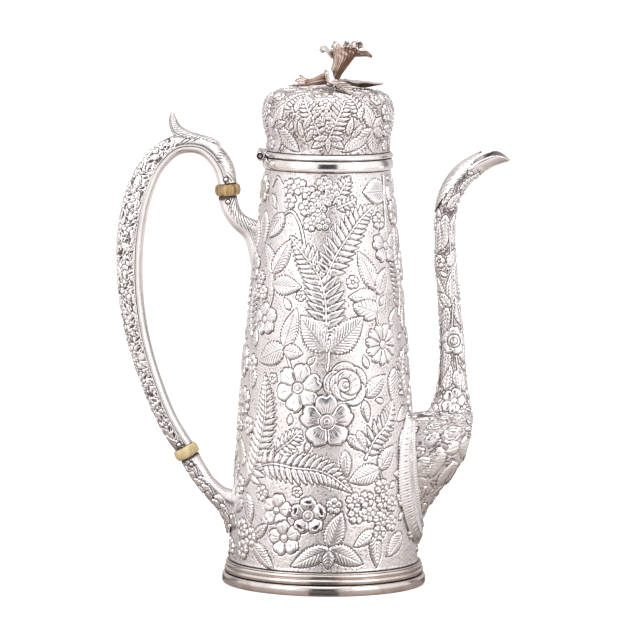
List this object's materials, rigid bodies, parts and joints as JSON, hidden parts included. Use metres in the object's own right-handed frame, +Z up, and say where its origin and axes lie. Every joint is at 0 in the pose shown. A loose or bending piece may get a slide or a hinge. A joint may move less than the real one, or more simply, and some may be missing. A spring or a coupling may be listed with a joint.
{
  "type": "coffee pot",
  "caption": "Tall tapering silver coffee pot with raised floral decoration, a hinged domed lid with a blossom finial, a slender side spout and an insulated loop handle.",
  "frame": {"origin": "centre of the foot's resting plane, on the body's axis", "axes": "+Z up along the body's axis, +X towards the spout, -X towards the handle, the lid hinge parallel to Y"},
  "size_m": [0.1837, 0.0954, 0.254],
  "materials": {
    "silver_chased": "raised and chased silver, bright on the high points and grey-brown in the recesses",
    "silver_polished": "plain silver, highly polished",
    "silver_inside": "plain silver, dull and slightly tarnished",
    "bone": "satin yellowed bone"
  },
  "bodies": {
    "pot": {"body_shell": "silver_chased", "bottom_plate": "silver_inside", "foot_band": "silver_polished", "base_moulding": "silver_polished", "mouth_band": "silver_polished", "hinge_body_knuckle_front": "silver_polished", "hinge_body_knuckle_middle": "silver_polished", "hinge_body_knuckle_back": "silver_polished", "hinge_body_plate": "silver_polished", "hinge_pin": "silver_polished", "handle_outer_shell": "silver_chased", "handle_inner_strip": "silver_polished", "thumb_leaf": "silver_chased", "upper_insulator": "bone", "lower_insulator": "bone", "upper_handle_pin": "silver_polished", "upper_socket_pin": "silver_polished", "lower_handle_pin": "silver_polished", "lower_socket_pin": "silver_polished", "upper_handle_socket": "silver_chased", "lower_handle_socket": "silver_chased", "spout_shell": "silver_chased", "spout_border": "silver_chased", "spout_leaf": "silver_chased"},
    "lid": {"lid_band": "silver_polished", "lid_shell": "silver_chased", "lid_bezel": "silver_inside", "hinge_lid_knuckle_front": "silver_polished", "hinge_lid_knuckle_back": "silver_polished", "hinge_lid_plate": "silver_polished", "finial_hub": "silver_chased", "finial_upright_blossom": "silver_chased", "finial_side_blossom": "silver_chased", "finial_front_leaf": "silver_chased", "finial_right_leaf": "silver_chased", "finial_back_leaf": "silver_chased", "finial_stud": "silver_inside", "finial_nut": "silver_inside"}
  },
  "joints": [
    {"name": "lid_hinge", "type": "hinge", "parent": "pot", "child": "lid", "pos_m": [-0.0316, 0, 0.2012], "axis": [0, -1, 0], "range_deg": [0, 70]}
  ]
}
